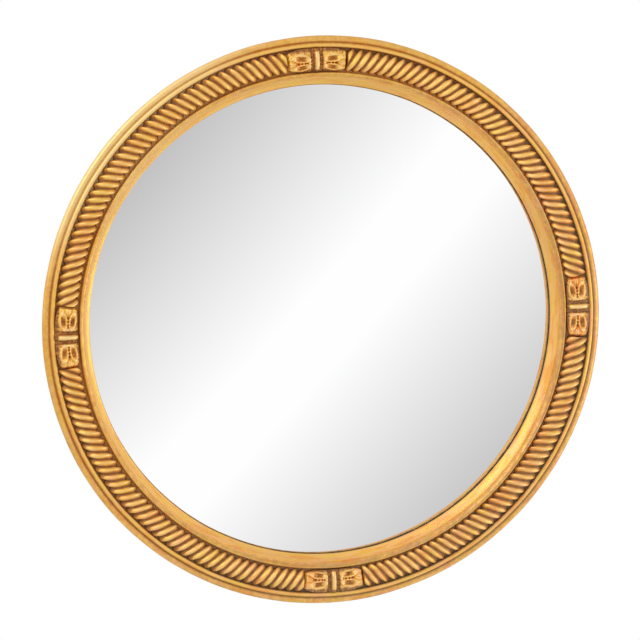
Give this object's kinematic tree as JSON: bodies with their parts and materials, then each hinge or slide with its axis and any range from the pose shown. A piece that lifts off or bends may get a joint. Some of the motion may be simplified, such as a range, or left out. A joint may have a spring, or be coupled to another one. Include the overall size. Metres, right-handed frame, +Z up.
{
  "type": "convex wall mirror",
  "caption": "Round gilt wall mirror: convex glass in a turned frame with a rope band bound by leaf clasps, a screwed back panel and hinged ring hangers.",
  "frame": {"origin": "centre of the back panel's rear face, in the plane of the frame's back, which lies against the wall", "axes": "+Z up, -Y out of the mirror's front towards the viewer, +Y into the wall, +X to the right as seen from the front"},
  "size_m": [0.61, 0.0467, 0.61],
  "materials": {
    "gilt_frame": "antique gold leaf over red clay on turned wood, rubbed at the edges",
    "gilt_ornament": "cast composition, gilded, dark wash in the hollows",
    "mirror_glass": "silvered convex glass, polished",
    "black_felt": "black felt",
    "raw_wood": "sawn softwood",
    "back_panel": "plywood with a plain brown face",
    "brass": "dulled brass",
    "steel": "zinc-plated steel"
  },
  "bodies": {
    "mirror": {"frame_ring": "gilt_frame", "rope_band_top_right": "gilt_ornament", "rope_band_top_left": "gilt_ornament", "rope_band_bottom_left": "gilt_ornament", "rope_band_bottom_right": "gilt_ornament", "clasp_right": "gilt_ornament", "clasp_top": "gilt_ornament", "clasp_left": "gilt_ornament", "clasp_bottom": "gilt_ornament", "mirror_glass": "mirror_glass", "glass_seat_strip": "black_felt", "glazing_block_1": "raw_wood", "glazing_block_2": "raw_wood", "glazing_block_3": "raw_wood", "glazing_block_4": "raw_wood", "glazing_block_5": "raw_wood", "glazing_block_6": "raw_wood", "glazing_block_7": "raw_wood", "glazing_block_8": "raw_wood", "back_panel": "back_panel", "panel_screw_1": "brass", "panel_screw_2": "brass", "panel_screw_3": "brass", "panel_screw_4": "brass", "panel_screw_5": "brass", "panel_screw_6": "brass", "panel_screw_7": "brass", "panel_screw_8": "brass", "strap_hanger_right": "brass", "strap_hanger_left": "brass", "hanger_screw_right_1": "steel", "hanger_screw_right_2": "steel", "hanger_screw_left_1": "steel", "hanger_screw_left_2": "steel", "wall_bumper_right": "black_felt", "wall_bumper_left": "black_felt"},
    "ring_right": {"hanger_ring_right": "brass"},
    "ring_left": {"hanger_ring_left": "brass"}
  },
  "joints": [
    {"name": "ring_right_hinge", "type": "hinge", "parent": "mirror", "child": "ring_right", "pos_m": [0.21843, 0.00285, 0.17492], "axis": [0.8192, 0, 0.5736], "range_deg": [0, 170]},
    {"name": "ring_left_hinge", "type": "hinge", "parent": "mirror", "child": "ring_left", "pos_m": [-0.21843, 0.00285, 0.17492], "axis": [0.8192, 0, -0.5736], "range_deg": [0, 170]}
  ]
}
